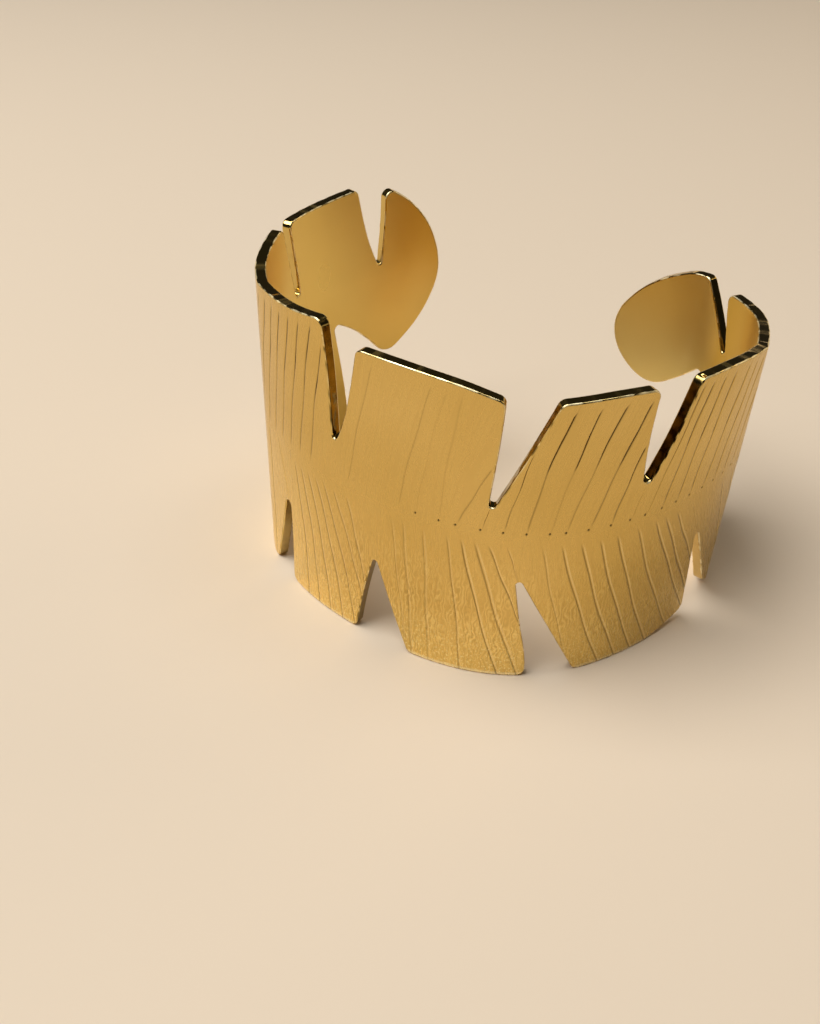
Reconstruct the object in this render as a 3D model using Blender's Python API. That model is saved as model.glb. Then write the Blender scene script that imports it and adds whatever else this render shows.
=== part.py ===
"""Open cuff bracelet: one strip of sheet metal, cut as a long leaf and bent round the wrist.

The leaf is drawn flat, with "along" running round the wrist from the leaf-base end to the
leaf-tip end and "up" running from the lower edge to the upper edge. Its outline, veins and
midrib pits are then bent on to an oval. The cuff stands on its lower lobes, open side at +Y.
"""
from math import pi, radians, tan

import bmesh
import bpy
import numpy as np
from mathutils import Vector
from mathutils.geometry import delaunay_2d_cdt, interpolate_bezier

# Driving sizes, in metres
OVAL_WIDTH = 0.0632        # outside, across the wrist, before the waves below
OVAL_DEPTH = 0.05512       # outside, front to back, before the waves below
GAP = 0.0298               # between the leaf's two ends, along the oval
HEIGHT = 0.0435            # of the leaf, at its nominal upper edge
WALL = 0.0014              # thickness of the sheet
EDGE_BEVEL = 0.00022       # chamfer round the whole cut edge, outside and inside
CORNER_RADIUS = 0.0011     # lobe corners
HEEL_RADIUS = 0.0026       # softer turns of the lower edge and of the leaf-base end
ROOT_RADIUS = 0.0004       # bottom of a narrow notch
WIDE_ROOT_RADIUS = 0.0007  # bottom of a wide notch
VEIN_WIDTH = 0.00042
VEIN_DEPTH = 0.00012
PIT_WIDTH = 0.0007
PIT_DEPTH = 0.00014
PIT_SPACING = 0.0026
BEND_STEP = 0.0024         # length of the flat facets round the oval
ARC_STEP = radians(24)     # turn of one facet in a rounded corner
CURVE_STEPS = 3            # facets between two points of a bowed side

# Shares of the leaf's length and height
FRONT = 0.4806             # the point of the leaf that faces straight forward, -Y
MIDRIB = 0.533             # height of the row of pits
MIDRIB_START = 0.06
MIDRIB_END = 0.95

# Slow waves that turn the plain oval into a hand-bent one: shares of the radius
OVAL_WAVES = (
    # order, cosine share, sine share
    (3, 0.0122, 0.0091),
    (4, 0.0008, 0.0320),
)

# Kinds of turn in the outline. A bow is a point that a curved side runs smoothly through.
BOW, CORNER, HEEL, ROOT, WIDE_ROOT = "bow", "corner", "heel", "root", "wide root"
TURN_RADIUS = {CORNER: CORNER_RADIUS, HEEL: HEEL_RADIUS, ROOT: ROOT_RADIUS, WIDE_ROOT: WIDE_ROOT_RADIUS}

# Leaf outline, clockwise from the top of the leaf-base end
OUTLINE = (
    # along, up, turn
    # upper edge: seven lobes and six notches, base end to tip end
    (0.060, 0.995, CORNER), (0.061, 0.874, BOW), (0.065, 0.711, ROOT), (0.080, 0.839, BOW),
    (0.092, 1.011, CORNER), (0.137, 1.002, BOW), (0.185, 0.998, CORNER),
    (0.178, 0.887, BOW), (0.170, 0.684, ROOT), (0.188, 0.855, BOW),
    (0.202, 0.998, CORNER), (0.261, 0.968, BOW), (0.321, 0.975, BOW), (0.377, 1.002, CORNER),
    (0.383, 0.851, BOW), (0.387, 0.625, ROOT), (0.400, 0.759, BOW),
    (0.410, 0.961, CORNER), (0.452, 0.964, BOW), (0.493, 0.954, BOW), (0.525, 0.926, CORNER),
    (0.523, 0.782, BOW), (0.518, 0.565, ROOT), (0.540, 0.743, BOW),
    (0.562, 0.928, CORNER), (0.602, 0.937, BOW), (0.636, 0.931, CORNER),
    (0.634, 0.759, BOW), (0.637, 0.606, WIDE_ROOT), (0.658, 0.756, BOW),
    (0.675, 0.920, CORNER), (0.716, 0.914, BOW), (0.773, 0.885, BOW), (0.837, 0.859, BOW),
    (0.887, 0.851, CORNER), (0.882, 0.770, BOW), (0.867, 0.598, ROOT), (0.892, 0.747, BOW),
    (0.912, 0.864, CORNER),
    # rounded tip end
    (0.933, 0.852, BOW), (0.969, 0.777, BOW), (0.994, 0.674, BOW), (1.000, 0.591, BOW),
    (0.992, 0.506, BOW), (0.971, 0.441, BOW), (0.950, 0.431, BOW), (0.929, 0.476, BOW),
    # lower edge: five standing lobes and six notches, tip end to base end
    (0.898, 0.575, WIDE_ROOT), (0.897, 0.276, BOW),
    (0.901, 0.000, CORNER), (0.789, 0.000, HEEL), (0.756, 0.074, CORNER),
    (0.736, 0.216, BOW), (0.713, 0.392, ROOT), (0.719, 0.195, BOW),
    (0.723, 0.041, CORNER), (0.675, 0.000, HEEL), (0.602, 0.000, CORNER),
    (0.575, 0.186, BOW), (0.543, 0.405, ROOT), (0.551, 0.223, BOW),
    (0.562, 0.000, CORNER), (0.461, 0.000, CORNER),
    (0.444, 0.161, BOW), (0.428, 0.326, ROOT), (0.417, 0.161, BOW),
    (0.409, 0.000, CORNER), (0.325, 0.000, CORNER),
    (0.327, 0.184, BOW), (0.326, 0.402, ROOT), (0.313, 0.218, BOW),
    (0.292, 0.000, CORNER), (0.102, 0.000, CORNER),
    (0.111, 0.310, BOW), (0.125, 0.578, WIDE_ROOT), (0.093, 0.506, BOW),
    # heart-shaped base end
    (0.058, 0.377, HEEL), (0.026, 0.476, BOW), (0.006, 0.595, BOW), (0.000, 0.703, BOW),
    (0.010, 0.834, BOW), (0.032, 0.933, BOW),
)

# Engraved veins, one row for each fan of evenly spaced straight grooves
VEIN_FANS = (
    # grooves, foot: first along, last along, up; tip: first along, last along, up
    # upper half, base end to tip end
    (3, 0.016, 0.044, 0.60, 0.020, 0.048, 0.88),
    (5, 0.078, 0.152, 0.58, 0.102, 0.171, 0.97),
    (11, 0.182, 0.366, 0.56, 0.210, 0.372, 0.94),
    (1, 0.408, 0.408, 0.58, 0.424, 0.424, 0.93),
    (4, 0.548, 0.604, 0.56, 0.572, 0.629, 0.90),
    (14, 0.660, 0.852, 0.55, 0.686, 0.872, 0.83),
    (3, 0.906, 0.946, 0.57, 0.928, 0.962, 0.74),
    # lower half, base end to tip end
    (3, 0.018, 0.056, 0.52, 0.028, 0.062, 0.44),
    (11, 0.138, 0.296, 0.50, 0.114, 0.288, 0.04),
    (6, 0.338, 0.402, 0.50, 0.350, 0.406, 0.04),
    (6, 0.446, 0.506, 0.47, 0.476, 0.551, 0.04),
    (7, 0.569, 0.650, 0.50, 0.620, 0.703, 0.07),
    (3, 0.664, 0.690, 0.50, 0.692, 0.710, 0.30),
    (8, 0.742, 0.878, 0.50, 0.790, 0.888, 0.05),
)
VEIN_TAPER = 0.15          # share of a vein's length over which it narrows at each end


def remove_scene_objects():
    for scene_object in list(bpy.data.objects):
        bpy.data.objects.remove(scene_object, do_unlink=True)


def oval_point(angle):
    """Outer oval at polar angles: an ellipse whose radius carries a few slow waves."""
    radius = 1 / np.hypot(np.cos(angle) / (OVAL_WIDTH / 2), np.sin(angle) / (OVAL_DEPTH / 2))
    waves = sum(c * np.cos(n * angle) + s * np.sin(n * angle) for n, c, s in OVAL_WAVES)
    radius = radius * (1 + waves)
    return np.stack([radius * np.cos(angle), radius * np.sin(angle)], axis=-1)


def oval_table(steps=7200):
    """Points, outward normals and arc length along the oval, from one turn left to one turn right."""
    angle = np.linspace(-2.5 * pi, 1.5 * pi, 2 * steps + 1)
    point = oval_point(angle)
    length = np.concatenate([[0], np.cumsum(np.linalg.norm(np.diff(point, axis=0), axis=1))])
    length -= length[steps]
    tangent = np.gradient(point, length, axis=0)
    normal = np.stack([tangent[:, 1], -tangent[:, 0]], axis=1)
    normal /= np.linalg.norm(normal, axis=1)[:, None]
    return length, point, normal


def bend(flat, depth, table):
    """Carry flat points (along from the front, up) on to the oval, sunk inward by depth."""
    length, point, normal = table
    on_wall = [np.interp(flat[:, 0], length, point[:, k]) for k in (0, 1)]
    outward = [np.interp(flat[:, 0], length, normal[:, k]) for k in (0, 1)]
    return np.stack([on_wall[0] - outward[0] * depth, on_wall[1] - outward[1] * depth, flat[:, 1]], axis=1)


def side_points(corner, bows, next_corner):
    """A side as a smooth curve from one corner through its bows to the next corner."""
    if not bows:
        return np.array([corner, next_corner])
    knots = [Vector(p) for p in (corner, *bows, next_corner)]
    slopes = [(after - before).normalized() for before, after in zip(knots, knots[2:])]
    points = [knots[0]]
    for k, (start, end) in enumerate(zip(knots, knots[1:])):
        reach = (end - start).length / 3
        arrive = end - slopes[k] * reach if k < len(slopes) else None
        leave = start + slopes[k - 1] * reach if k else start.lerp(arrive, 1 / 3)
        if arrive is None:
            arrive = end.lerp(leave, 1 / 3)
        points += interpolate_bezier(start, leave, arrive, end, CURVE_STEPS + 1)[1:]
    return np.array([p[:] for p in points])


def trim_start(side, reach):
    """Cut a length off a side's start; returns the new side."""
    steps = np.linalg.norm(np.diff(side, axis=0), axis=1)
    run = np.concatenate([[0], np.cumsum(steps)])
    first = np.array([np.interp(reach, run, side[:, k]) for k in (0, 1)])
    return np.vstack([first, side[run > reach * 1.05]])


def rounded_turn(before, corner, after, radius):
    """Points of the arc between two sides that are already trimmed back from their corner."""
    turn = Vector(corner - before).angle(Vector(after - corner))
    weight = np.cos(turn / 2)
    count = max(2, int(np.ceil(turn / ARC_STEP)))
    t = np.linspace(0, 1, count + 1)[1:-1, None]
    shares = (1 - t) ** 2, 2 * weight * t * (1 - t), t ** 2
    return (shares[0] * before + shares[1] * corner + shares[2] * after) / sum(shares)


def leaf_outline(leaf_length):
    """Closed outline of the flat leaf: (along from the front, up), clockwise, with rounded turns."""
    rows = [((along - FRONT) * leaf_length, up * HEIGHT, turn) for along, up, turn in OUTLINE]
    corners = [k for k, row in enumerate(rows) if row[2] != BOW]
    sides = []
    for k, start in enumerate(corners):
        end = corners[(k + 1) % len(corners)]
        between = range(start + 1, end if end > start else len(rows))
        sides.append(side_points(rows[start][:2], [rows[j][:2] for j in between], rows[end][:2]))
    reaches = []
    for k, corner in enumerate(corners):
        arriving, leaving = sides[k - 1], sides[k]
        turn = Vector(arriving[-1] - arriving[-2]).angle(Vector(leaving[1] - leaving[0]))
        reaches.append(TURN_RADIUS[rows[corner][2]] * tan(turn / 2))
    outline = []
    for k, corner in enumerate(corners):
        arriving = trim_start(sides[k - 1][::-1], reaches[k])
        side = trim_start(sides[k], reaches[k])
        kept = trim_start(side[::-1], reaches[(k + 1) % len(corners)])[::-1]
        arc = rounded_turn(arriving[0], np.array(rows[corner][:2]), side[0], TURN_RADIUS[rows[corner][2]])
        outline += [arc, kept]
    return np.vstack(outline)


def divide_long_edges(outline):
    """Outline with extra points, so that no edge runs further round the oval than one facet."""
    points = []
    for start, end in zip(outline, np.roll(outline, -1, axis=0)):
        count = int(np.ceil(abs(end[0] - start[0]) / BEND_STEP)) or 1
        points += [start + (end - start) * k / count for k in range(count)]
    return np.array(points)


def inset(outline, distance):
    """Clockwise outline moved inward: each point slides along the mitre of its two edges."""
    edge = np.roll(outline, -1, axis=0) - outline
    edge /= np.linalg.norm(edge, axis=1)[:, None]
    inward = np.stack([edge[:, 1], -edge[:, 0]], axis=1)
    mitre = inward + np.roll(inward, 1, axis=0)
    mitre /= np.sum(mitre * inward, axis=1)[:, None]
    return outline + mitre * distance


def is_clear(points, outline, clearance):
    """Which flat points lie inside the outline and more than a clearance away from it."""
    edge_start, edge_end = outline, np.roll(outline, -1, axis=0)
    edge = edge_end - edge_start
    offset = points[:, None] - edge_start
    share = np.clip(np.sum(offset * edge, axis=2) / np.sum(edge * edge, axis=1), 0, 1)
    away = np.linalg.norm(offset - share[..., None] * edge, axis=2).min(axis=1)
    height = points[:, None, 1]
    spans = (edge_start[:, 1] > height) != (edge_end[:, 1] > height)
    rise = np.where(edge[:, 1] == 0, 1, edge[:, 1])
    crossing = edge_start[:, 0] + offset[..., 1] / rise * edge[:, 0]
    inside = np.sum(spans & (crossing > points[:, None, 0]), axis=1) % 2 == 1
    return inside & (away > clearance)


def clear_runs(start, end, outline, clearance):
    """Stretches of a straight line that are clear of the outline."""
    count = int(np.linalg.norm(end - start) / (HEIGHT / 100)) + 2
    line = start + (end - start) * np.linspace(0, 1, count)[:, None]
    clear = np.concatenate([[0], is_clear(line, outline, clearance), [0]])
    starts, ends = np.flatnonzero(np.diff(clear) == 1), np.flatnonzero(np.diff(clear) == -1) - 1
    return [(line[a], line[b]) for a, b in zip(starts, ends) if b > a]


def bend_lines(leaf_length, outline):
    """Straight upright lines between neighbouring facets, kept clear of the outline."""
    lines = []
    for along in np.arange(-FRONT * leaf_length, (1 - FRONT) * leaf_length, BEND_STEP):
        bottom, top = np.array([along, 0]), np.array([along, 1.05 * HEIGHT])
        lines += clear_runs(bottom, top, outline, EDGE_BEVEL)
    return lines


def vein_ends(leaf_length, outline):
    """Foot and tip of every vein; a vein that meets a notch stops short of it."""
    ends = []
    for count, foot_first, foot_last, foot_up, tip_first, tip_last, tip_up in VEIN_FANS:
        foot = np.linspace((foot_first, foot_up), (foot_last, foot_up), count)
        tip = np.linspace((tip_first, tip_up), (tip_last, tip_up), count)
        for a, b in zip(foot, tip):
            a, b = ((p - (FRONT, 0)) * (leaf_length, HEIGHT) for p in (a, b))
            runs = clear_runs(a, b, outline, VEIN_WIDTH)
            ends += [run for run in runs if np.linalg.norm(run[1] - run[0]) > 8 * VEIN_WIDTH]
    return ends


def pit_centres(leaf_length, outline):
    """A row of pits along the midrib, left out where a notch reaches it."""
    run = leaf_length * (MIDRIB_END - MIDRIB_START)
    count = int(run / PIT_SPACING) + 1
    along = (MIDRIB_START - FRONT) * leaf_length + PIT_SPACING * np.arange(count)
    centres = np.stack([along, np.full(count, MIDRIB * HEIGHT)], axis=1)
    return centres[is_clear(centres, outline, PIT_WIDTH)]


def groove_lines(foot, tip):
    """Three lines of one groove, left rim, bottom and right rim, which share the foot and the tip."""
    run = tip - foot
    across = np.array([-run[1], run[0]]) / np.linalg.norm(run) * VEIN_WIDTH / 2
    near, far = foot + run * VEIN_TAPER, tip - run * VEIN_TAPER
    return [[foot, near + shift, far + shift, tip] for shift in (across, 0 * across, -across)]


def surface_depth(flat, veins, pits):
    """How far the engraving sinks each flat point: V-shaped grooves and conical pits."""
    depth = np.zeros(len(flat))
    for foot, tip in veins:
        run = tip - foot
        share = (flat - foot) @ run / (run @ run)
        aside = np.abs((flat - foot) @ np.array([-run[1], run[0]])) / np.linalg.norm(run)
        taper = np.clip(np.minimum(share, 1 - share) / VEIN_TAPER, 0, 1)
        depth = np.maximum(depth, VEIN_DEPTH * (taper - aside / (VEIN_WIDTH / 2)))
    for centre in pits:
        away = np.linalg.norm(flat - centre, axis=1)
        depth = np.maximum(depth, PIT_DEPTH * (1 - away / (PIT_WIDTH / 2)))
    return depth


def face_of_leaf(outline, bends, veins=(), pits=()):
    """Triangulate one face of the leaf with its bend lines and engraving as edges."""
    points = list(outline)
    edges = []
    for line in bends:
        edges.append((len(points), len(points) + 1))
        points += line
    for foot, tip in veins:
        first = len(points)
        left, bottom, right = groove_lines(foot, tip)
        points += [foot, tip, *left[1:3], *bottom[1:3], *right[1:3]]
        for near in (2, 4, 6):
            edges += [(first, first + near), (first + near, first + near + 1), (first + near + 1, first + 1)]
    for centre in pits:
        first = len(points)
        turn = np.arange(6) * pi / 3
        points += [centre, *(centre + PIT_WIDTH / 2 * np.stack([np.cos(turn), np.sin(turn)], axis=1))]
        edges += [(first + 1 + k, first + 1 + (k + 1) % 6) for k in range(6)]
    loop = list(range(len(outline)))
    verts, _, faces, origins, _, _ = delaunay_2d_cdt([Vector(p) for p in points], edges, [loop], 1, 1e-6)
    flat = np.array([v[:] for v in verts])
    on_outline = {}
    for new, old in enumerate(origins):
        for index in old:
            if index < len(outline):
                on_outline[index] = new
    return flat, faces, [on_outline[k] for k in loop]


def leaf_mesh():
    table = oval_table()
    leaf_length = table[0][-1] - GAP
    rim = divide_long_edges(leaf_outline(leaf_length))
    face_rim = inset(rim, EDGE_BEVEL)
    bends = bend_lines(leaf_length, face_rim)
    veins, pits = vein_ends(leaf_length, face_rim), pit_centres(leaf_length, face_rim)
    front, front_faces, front_rim = face_of_leaf(face_rim, bends, veins, pits)
    back, back_faces, back_rim = face_of_leaf(face_rim, bends)

    shell = bmesh.new()

    def add(flat, depth):
        return [shell.verts.new(p) for p in bend(flat, depth, table)]

    front_verts = add(front, surface_depth(front, veins, pits))
    back_verts = add(back, np.full(len(back), WALL))
    loops = [[front_verts[k] for k in front_rim],
             add(rim, np.full(len(rim), EDGE_BEVEL)),
             add(rim, np.full(len(rim), WALL - EDGE_BEVEL)),
             [back_verts[k] for k in back_rim]]
    for verts, faces in ((front_verts, front_faces), (back_verts, back_faces)):
        for face in faces:
            shell.faces.new([verts[k] for k in face])
    count = len(rim)
    for outer, inner in zip(loops, loops[1:]):
        for k in range(count):
            after = (k + 1) % count
            shell.faces.new((outer[k], outer[after], inner[after], inner[k]))
    bmesh.ops.recalc_face_normals(shell, faces=shell.faces)
    place_on_ground(shell)
    mesh = bpy.data.meshes.new("cuff_band")
    shell.to_mesh(mesh)
    shell.free()
    return mesh


def place_on_ground(shell):
    """Origin at the middle of the cuff's box, on the ground under its lowest lobe."""
    corners = np.array([v.co[:] for v in shell.verts])
    low, high = corners.min(axis=0), corners.max(axis=0)
    middle = (low + high) / 2
    bmesh.ops.translate(shell, verts=shell.verts, vec=(-middle[0], -middle[1], -low[2]))


def polished_gold():
    material = bpy.data.materials.new("polished_gold")
    material.use_nodes = True
    shader = material.node_tree.nodes["Principled BSDF"]
    shader.inputs["Base Color"].default_value = (0.84, 0.58, 0.22, 1)
    shader.inputs["Metallic"].default_value = 1
    shader.inputs["Roughness"].default_value = 0.22
    return material


def build_cuff():
    mesh = leaf_mesh()
    mesh.shade_smooth()
    mesh.set_sharp_from_angle(angle=radians(30))
    mesh.materials.append(polished_gold())
    cuff = bpy.data.objects.new("cuff_band", mesh)
    bpy.context.scene.collection.objects.link(cuff)


remove_scene_objects()
build_cuff()
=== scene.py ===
"""Leaf cuff bracelet, dressed: the engraved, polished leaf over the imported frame, on a pale floor."""
from math import cos, pi, radians, sin

import bmesh
import bpy
import numpy as np
from mathutils import Matrix, Vector


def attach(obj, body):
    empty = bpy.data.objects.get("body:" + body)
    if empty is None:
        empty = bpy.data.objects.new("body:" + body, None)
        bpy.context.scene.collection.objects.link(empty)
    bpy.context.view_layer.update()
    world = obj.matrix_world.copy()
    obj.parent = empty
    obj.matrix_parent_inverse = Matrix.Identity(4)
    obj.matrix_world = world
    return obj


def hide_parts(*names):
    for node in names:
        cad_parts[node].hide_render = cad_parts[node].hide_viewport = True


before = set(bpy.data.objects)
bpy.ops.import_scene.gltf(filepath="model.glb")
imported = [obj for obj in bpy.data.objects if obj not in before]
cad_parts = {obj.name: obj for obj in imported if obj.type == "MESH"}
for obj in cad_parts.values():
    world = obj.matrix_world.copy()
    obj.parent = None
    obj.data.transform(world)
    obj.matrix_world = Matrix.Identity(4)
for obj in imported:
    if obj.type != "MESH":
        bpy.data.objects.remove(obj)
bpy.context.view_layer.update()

# Sizes of the bent leaf, in metres
OVAL_WIDTH = 0.0632
OVAL_DEPTH = 0.05512
GAP = 0.0298
HEIGHT = 0.0435
OVAL_CENTRE = -0.000445, 0.001841
WALL = 0.0014
EDGE_BEVEL = 0.0002
CORNER_RADIUS = 0.0011
HEEL_RADIUS = 0.0026
ROOT_RADIUS = 0.0004
WIDE_ROOT_RADIUS = 0.0007
VEIN_WIDTH = 0.00032
VEIN_DEPTH = 0.00014
PIT_WIDTH = 0.00034
PIT_DEPTH = 0.00016

# Shares of the leaf's length and height
FRONT = 0.4806
MIDRIB = 0.533
PITS_FROM, PITS_TO = 0.45, 0.87
OVAL_WAVES = ((3, 0.0122, 0.0091), (4, 0.0008, 0.0320))

MIDRIB_LEVEL = 0.29        # share of the length, either side of the middle, where the midrib is level
MIDRIB_RISEN = 0.36        # and from where on it is higher
MIDRIB_RISE = 0.0028       # by this much, in metres

# Two places where the wall folds a little more sharply, as shares of the length and distances in mm
CREASES = (
    # corner, swell from, swell to, swell, rise from, peak, dip at, dip, level again
    (0.283, 0.210, 0.262, 0.15, 0.262, 0.26, 0.315, 0.08, 0.365),
    (0.766, 0.740, 0.752, 0.00, 0.752, 0.14, 0.802, 0.38, 0.850),
)
CREASE_ROUNDING = 31       # table steps over which a fold is rounded
CREASE_COLUMNS = np.linspace(-0.0012, 0.0012, 9)    # columns across a fold, in metres from its corner

# Course of the veins, in metres and shares
BOW_ROOM = 0.0024          # veins are bowed fully from this far beside a notch
VEIN_WAVE = 0.00009        # and waver by this much
WAVE_PERIOD = 0.0061       # and this length along the leaf brings the same waver again
VEIN_START = 0.0012        # from the seam to where a lower vein begins to show
VEIN_FADE = 0.0014         # length over which it reaches its strength
EARLY_UNTIL = 0.30         # up to this share of the leaf's length veins begin at the seam itself
EARLY_FADE = 0.05          # and this share later where the rest do
SHORT_OF_EDGE = 0.925      # share of its length at which a dark upper vein ends
ROOM_SHARE = 0.46          # of the distance to the next vein that a groove may take
LEAST_SINE = 0.4           # a vein's slant at the edge counts as no flatter than this
FOOT_CLEAR = 0.001         # share of the way from foot to tip before which it meets no edge
PARALLEL = 1e-15           # cross product of two lines, in square metres, that never meet
TIE_STEP = 1e-9            # keeps equal places in rising order

# Fineness of the finished surface, in metres and radians
EDGE_STEP = 0.0012         # longest edge round the outline
ARC_STEP = radians(12)     # turn of one step round a corner
CURVE_STEPS = 6            # steps in each span of a side
BEVEL_STEPS = 3            # and in each bevel
EDGE_FLAT = 0.00006        # strip beside a bevel that stays flat
UPPER_DROP = 0.0006        # the upper half begins this far below the midrib line
LOWER_DROP = 0.0008        # and the lower half here, with a seam between
NEAR_STEP = 0.0001         # between the rows that cross the pits
NEAR_ROWS = 12             # this many of them
OUTER_ROWS = 22            # rows from there to the edge
INNER_ROWS = 5             # and on the inner face
PLAIN = 9.0                # place across a groove, in half widths, of a column in none

# Places across a groove in half widths, with the depth and the darkness there (below zero a painted highlight
# on the lips), and across a pit
GROOVE_ACROSS = np.array([-2.6, -1.7, -1.1, -0.6, -0.2, 0.2, 0.6, 1.1, 1.7, 2.6])
GROOVE_SHAPE = np.array([0.0, -0.12, 0.05, 0.55, 1.0, 1.0, 0.55, 0.05, -0.12, 0.0])
GROOVE_TONE = np.array([0.0, 0.0, 0.12, 0.6, 1.5, 1.5, 0.5, -0.4, -0.55, 0.0])
STROKE_TONE = np.array([0.0, 0.0, 0.0, 0.12, 2.4, 2.4, 0.12, 0.0, 0.0, 0.0])
PIT_ACROSS = np.array([-1.5, -1.0, -0.5, 0.0, 0.5, 1.0, 1.5])
UV_UNIT = 0.01             # one unit of the leaf's UV map

OUTSIDE, INSIDE, CUT_EDGE = 0, 1, 2

BOW, CORNER, HEEL, ROOT, WIDE_ROOT = "bow", "corner", "heel", "root", "wide root"
TURN_RADIUS = {CORNER: CORNER_RADIUS, HEEL: HEEL_RADIUS, ROOT: ROOT_RADIUS, WIDE_ROOT: WIDE_ROOT_RADIUS}

# Leaf outline, clockwise from the top of the leaf-base end
OUTLINE = (
    # along, up, turn
    # upper edge, base end to tip end
    (0.060, 0.995, CORNER), (0.061, 0.874, BOW), (0.065, 0.711, ROOT), (0.080, 0.839, BOW),
    (0.092, 1.011, CORNER), (0.137, 1.002, BOW), (0.185, 0.998, CORNER),
    (0.178, 0.887, BOW), (0.1715, 0.750, ROOT), (0.1785, 0.746, ROOT), (0.1868, 0.868, BOW),
    (0.1965, 0.998, CORNER), (0.261, 0.968, BOW), (0.321, 0.975, BOW), (0.377, 1.002, CORNER),
    (0.383, 0.851, BOW), (0.387, 0.625, ROOT), (0.400, 0.759, BOW),
    (0.410, 0.961, CORNER), (0.452, 0.964, BOW), (0.493, 0.954, BOW), (0.525, 0.926, CORNER),
    (0.523, 0.782, BOW), (0.518, 0.565, ROOT), (0.540, 0.743, BOW),
    (0.562, 0.928, CORNER), (0.602, 0.937, BOW), (0.636, 0.931, CORNER),
    (0.634, 0.759, BOW), (0.637, 0.606, WIDE_ROOT), (0.658, 0.756, BOW),
    (0.675, 0.920, CORNER), (0.716, 0.914, BOW), (0.773, 0.885, BOW), (0.837, 0.859, BOW),
    (0.887, 0.851, CORNER), (0.882, 0.770, BOW), (0.867, 0.598, ROOT), (0.892, 0.747, BOW),
    (0.912, 0.864, CORNER),
    # rounded tip end
    (0.933, 0.852, BOW), (0.969, 0.777, BOW), (0.994, 0.674, BOW), (1.000, 0.591, BOW),
    (0.992, 0.506, BOW), (0.971, 0.441, BOW), (0.950, 0.431, BOW), (0.929, 0.476, BOW),
    # lower edge, tip end to base end
    (0.898, 0.575, WIDE_ROOT), (0.897, 0.276, BOW),
    (0.901, 0.000, CORNER), (0.789, 0.000, HEEL), (0.756, 0.074, CORNER),
    (0.736, 0.216, BOW), (0.713, 0.392, ROOT), (0.719, 0.195, BOW),
    (0.723, 0.041, CORNER), (0.675, 0.000, HEEL), (0.602, 0.000, CORNER),
    (0.575, 0.186, BOW), (0.543, 0.405, ROOT), (0.551, 0.223, BOW), (0.559, 0.080, BOW),
    (0.5605, 0.000, CORNER), (0.461, 0.000, CORNER),
    (0.444, 0.161, BOW), (0.428, 0.326, ROOT), (0.417, 0.161, BOW),
    (0.409, 0.000, CORNER), (0.325, 0.000, CORNER),
    (0.327, 0.184, BOW), (0.326, 0.418, WIDE_ROOT), (0.312, 0.218, BOW),
    (0.292, 0.000, CORNER), (0.102, 0.000, CORNER),
    (0.111, 0.310, BOW), (0.125, 0.578, WIDE_ROOT), (0.093, 0.506, BOW),
    # heart-shaped base end
    (0.058, 0.377, HEEL), (0.026, 0.476, BOW), (0.006, 0.595, BOW), (0.000, 0.703, BOW),
    (0.010, 0.834, BOW), (0.032, 0.933, BOW),
)

# Painted shade on the side walls of the notches: how dark each wall is painted, upper and then lower
UPPER_SHADE = (
    # notch along, left wall, right wall
    (0.065, 0.0, 0.30), (0.1715, 0.0, 0.0), (0.1785, 0.0, 0.0), (0.387, 0.62, 0.5),
    (0.518, 0.35, 0.55), (0.637, 0.40, 0.97), (0.867, 0.30, 0.55),
)
LOWER_SHADE = (
    (0.125, 0.0, 0.0), (0.326, 0.35, 0.2), (0.428, 0.55, 0.3), (0.543, 0.4, 0.3),
    (0.713, 0.3, 0.0), (0.898, 0.0, 0.0),
)

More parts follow.
